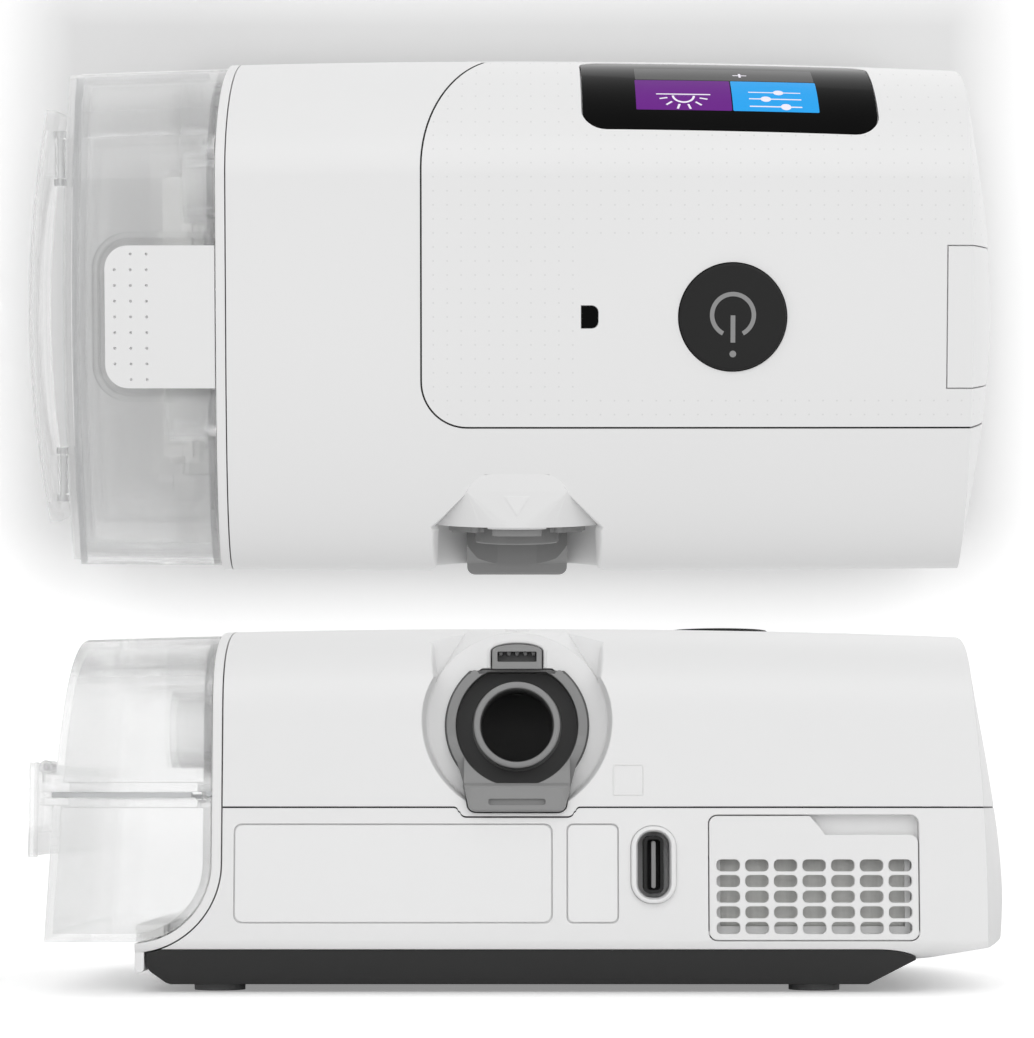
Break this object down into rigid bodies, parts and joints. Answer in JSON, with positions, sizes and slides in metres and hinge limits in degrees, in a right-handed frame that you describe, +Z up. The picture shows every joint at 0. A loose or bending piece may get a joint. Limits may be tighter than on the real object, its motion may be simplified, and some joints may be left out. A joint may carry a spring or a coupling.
{
  "type": "bilevel pap machine",
  "caption": "Bedside breathing therapy machine with a clear humidifier tub docked on one end, a tilted screen, a round start button and a rear air outlet cone",
  "frame": {"origin": "middle of the footprint on the surface the machine stands on", "axes": "+Z up, +X towards the water tub, -Y towards the user and the screen, +Y towards the air outlet"},
  "size_m": [0.2594, 0.1385, 0.0945],
  "materials": {
    "case_white": "fine satin",
    "clear_plastic": "clear polished",
    "charcoal_plastic": "fine satin",
    "black_gloss": "gloss",
    "black_plastic": "satin",
    "grey_plastic": "satin",
    "foot_rubber": "matte",
    "soft_silicone": "matte",
    "label_white": "semi-gloss film",
    "steel": "brushed",
    "plate_metal": "bead blasted",
    "copper": "drawn",
    "circuit_board": "solder mask",
    "foam": "open-cell foam",
    "filter_media": "felted fibre"
  },
  "bodies": {
    "case": {"upper_case": "case_white", "lower_case": "case_white", "base_tray": "charcoal_plastic", "rubber_feet": "foot_rubber", "case_screws": "steel", "top_panel": "case_white", "screen_lens": "black_gloss", "display_module": "black_plastic", "light_sensor_window": "black_gloss", "button_spring": "soft_silicone", "button_switch": "black_plastic", "card_slot": "steel", "memory_card": "black_plastic", "dock_frame": "case_white", "dock_seals": "soft_silicone", "heater_plate": "plate_metal", "heater_springs": "steel", "air_filter": "filter_media", "filter_frame": "case_white", "inlet_bezel": "case_white", "inlet_socket": "black_plastic", "inlet_contacts": "copper", "tube_socket": "grey_plastic", "tube_contacts": "copper", "label_plate": "label_white", "small_label_plate": "label_white", "main_board": "circuit_board", "radio_module": "steel", "buzzer": "black_plastic", "power_board": "circuit_board", "silencer_box": "case_white", "silencer_foam": "foam", "intake_duct": "case_white", "blower_housing": "charcoal_plastic", "blower_cap": "charcoal_plastic", "blower_mount": "soft_silicone", "motor_stator": "copper", "blower_duct": "soft_silicone", "outlet_duct": "soft_silicone", "flow_sensor": "circuit_board"},
    "button": {"start_button": "charcoal_plastic"},
    "cover": {"side_cover": "case_white"},
    "filter_flap": {"filter_door": "case_white"},
    "connector": {"outlet_connector": "grey_plastic", "outlet_well": "charcoal_plastic", "outlet_cone": "grey_plastic"},
    "rotor": {"impeller": "grey_plastic", "motor_shaft": "steel"},
    "tub": {"tub_base": "clear_plastic", "tub_heat_plate": "plate_metal", "tub_seal": "soft_silicone", "lid_hinge_pins": "steel"},
    "lid": {"tub_lid": "clear_plastic", "tub_port_insert": "case_white", "latch_pin": "steel", "latch_spring": "steel", "clip_pins": "steel"},
    "tab": {"latch_tab": "case_white"},
    "clip": {"tub_clip": "clear_plastic"}
  },
  "joints": [
    {"name": "start_button_press", "type": "slide", "parent": "case", "child": "button", "axis": [0, 0, -1], "range_m": [0, 0.0008], "stiffness_N_per_m": 1200, "deforming": ["button_spring"]},
    {"name": "side_cover_hinge", "type": "hinge", "parent": "case", "child": "cover", "pos_m": [-0.12495, 0, 0.0521], "axis": [0, -1, 0], "range_deg": [0, 80]},
    {"name": "filter_door_hinge", "type": "hinge", "parent": "case", "child": "filter_flap", "pos_m": [-0.07455, 0.0649, 0.0148], "axis": [-1, 0, 0], "range_deg": [0, 90]},
    {"name": "outlet_connector_slide", "type": "slide", "parent": "case", "child": "connector", "axis": [0, 1, 0], "range_m": [0, 0.02]},
    {"name": "impeller_spin", "type": "hinge", "parent": "case", "child": "rotor", "pos_m": [0.036, -0.02, 0.04], "axis": [0, 0, 1], "continuous": true},
    {"name": "tub_slide", "type": "slide", "parent": "case", "child": "tub", "axis": [1, 0, 0], "range_m": [0, 0.06]},
    {"name": "tub_lid_hinge", "type": "hinge", "parent": "tub", "child": "lid", "pos_m": [0.079, 0, 0.0499], "axis": [0, -1, 0], "range_deg": [0, 60.5]},
    {"name": "latch_tab_press", "type": "hinge", "parent": "lid", "child": "tab", "pos_m": [0.081, 0, 0.08797], "axis": [0, 1, 0], "range_deg": [0, 2.5], "stiffness_Nm_per_rad": 0.6, "deforming": ["latch_spring"]},
    {"name": "tub_clip_hinge", "type": "hinge", "parent": "lid", "child": "clip", "pos_m": [0.1212, 0, 0.0567], "axis": [0, -1, 0], "range_deg": [0, 25]}
  ],
  "couplings": [
    {"joint": "tub_lid_hinge", "follows": "tub_slide", "rad_per_m": 17.453}
  ]
}
